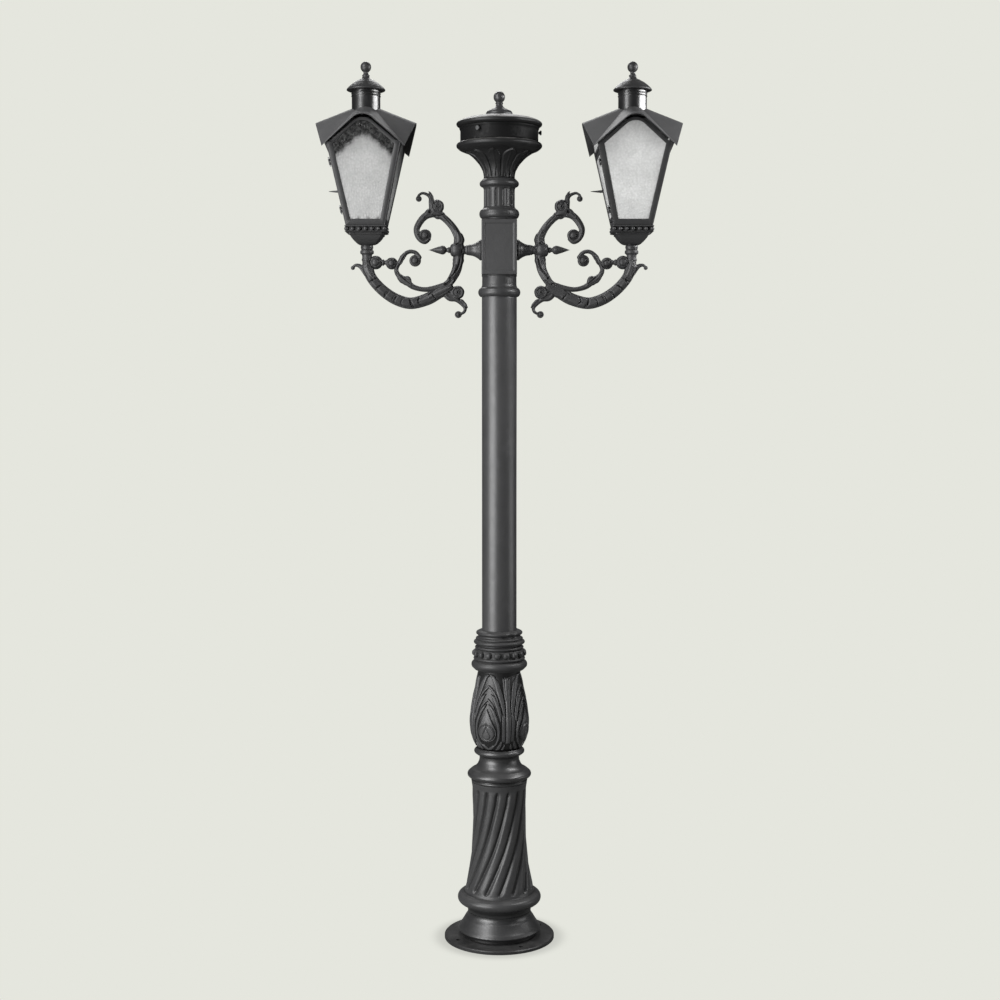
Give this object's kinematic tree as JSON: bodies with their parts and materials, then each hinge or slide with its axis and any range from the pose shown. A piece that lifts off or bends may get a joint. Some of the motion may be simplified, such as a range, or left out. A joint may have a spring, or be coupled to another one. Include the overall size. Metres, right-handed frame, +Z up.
{
  "type": "twin-arm street lamp",
  "caption": "Ornamental cast street lamp: fluted post with a leaf baluster, two scroll arms and square tapered lanterns with hinged glazed doors.",
  "frame": {"origin": "centre of the underside of the base flange", "axes": "+Z up the post, the front of the lamp faces -Y, the two lanterns stand along X"},
  "size_m": [1.648, 0.51, 4.0145],
  "materials": {
    "cast_paint": "satin charcoal paint over cast iron, soft cast detail",
    "tube_paint": "satin charcoal paint on steel tube",
    "sheet_paint": "semi-gloss charcoal paint on sheet metal",
    "lantern_paint": "satin charcoal paint on cast frame",
    "frosted_glass": "hammered frosted glass",
    "lamp_glass": "opal lamp glass",
    "porcelain": "glazed white porcelain",
    "zinc_steel": "zinc-plated steel",
    "terminal_plastic": "moulded insulating plastic"
  },
  "bodies": {
    "post": {"base_flange": "cast_paint", "base_foot": "cast_paint", "spiral_pedestal": "cast_paint", "waist_collar": "cast_paint", "leaf_baluster": "cast_paint", "bead_collar": "cast_paint", "shaft_tube": "tube_paint", "shaft_ring": "cast_paint", "arm_block": "cast_paint", "rear_cover": "sheet_paint", "cover_screws": "zinc_steel", "terminal_plate": "zinc_steel", "terminal_block": "terminal_plastic", "capital_neck": "cast_paint", "capital_bell": "cast_paint", "cap_drum": "cast_paint", "cap_screws": "cast_paint", "cap_lid": "cast_paint", "cap_finial": "cast_paint", "arm_studs": "zinc_steel", "arm_nuts": "zinc_steel", "left_scroll_bracket": "cast_paint", "left_main_arm": "cast_paint", "left_link_knobs": "cast_paint", "left_arm_cone": "cast_paint", "left_arm_spear": "cast_paint", "right_scroll_bracket": "cast_paint", "right_main_arm": "cast_paint", "right_link_knobs": "cast_paint", "right_arm_cone": "cast_paint", "right_arm_spear": "cast_paint", "left_lantern_pan": "lantern_paint", "left_lantern_frame": "lantern_paint", "left_fixed_panes": "frosted_glass", "left_glazing_clips": "zinc_steel", "left_hinge_pins": "zinc_steel", "left_hood": "sheet_paint", "left_chimney": "sheet_paint", "left_vent_cap": "sheet_paint", "left_lamp_tray": "sheet_paint", "left_lampholder": "porcelain", "left_lamp": "lamp_glass", "right_lantern_pan": "lantern_paint", "right_lantern_frame": "lantern_paint", "right_fixed_panes": "frosted_glass", "right_glazing_clips": "zinc_steel", "right_hinge_pins": "zinc_steel", "right_hood": "sheet_paint", "right_chimney": "sheet_paint", "right_vent_cap": "sheet_paint", "right_lamp_tray": "sheet_paint", "right_lampholder": "porcelain", "right_lamp": "lamp_glass"},
    "left_door": {"left_door_frame": "lantern_paint", "left_door_pane": "frosted_glass"},
    "left_latch": {"left_door_latch": "lantern_paint"},
    "right_door": {"right_door_frame": "lantern_paint", "right_door_pane": "frosted_glass"},
    "right_latch": {"right_door_latch": "lantern_paint"}
  },
  "joints": [
    {"name": "left_door_hinge", "type": "hinge", "parent": "post", "child": "left_door", "pos_m": [-0.72859, -0.10348, 3.44864], "axis": [-0.2052, -0.2052, 0.957], "range_deg": [0, 100]},
    {"name": "left_latch_turn", "type": "hinge", "parent": "left_door", "child": "left_latch", "pos_m": [-0.72245, 0.09655, 3.451], "axis": [-0.9778, 0, -0.2096], "range_deg": [0, 90]},
    {"name": "right_door_hinge", "type": "hinge", "parent": "post", "child": "right_door", "pos_m": [0.46741, -0.10348, 3.44864], "axis": [-0.2052, -0.2052, 0.957], "range_deg": [0, 38]},
    {"name": "right_latch_turn", "type": "hinge", "parent": "right_door", "child": "right_latch", "pos_m": [0.47356, 0.09655, 3.451], "axis": [-0.9778, 0, -0.2096], "range_deg": [0, 90]}
  ]
}
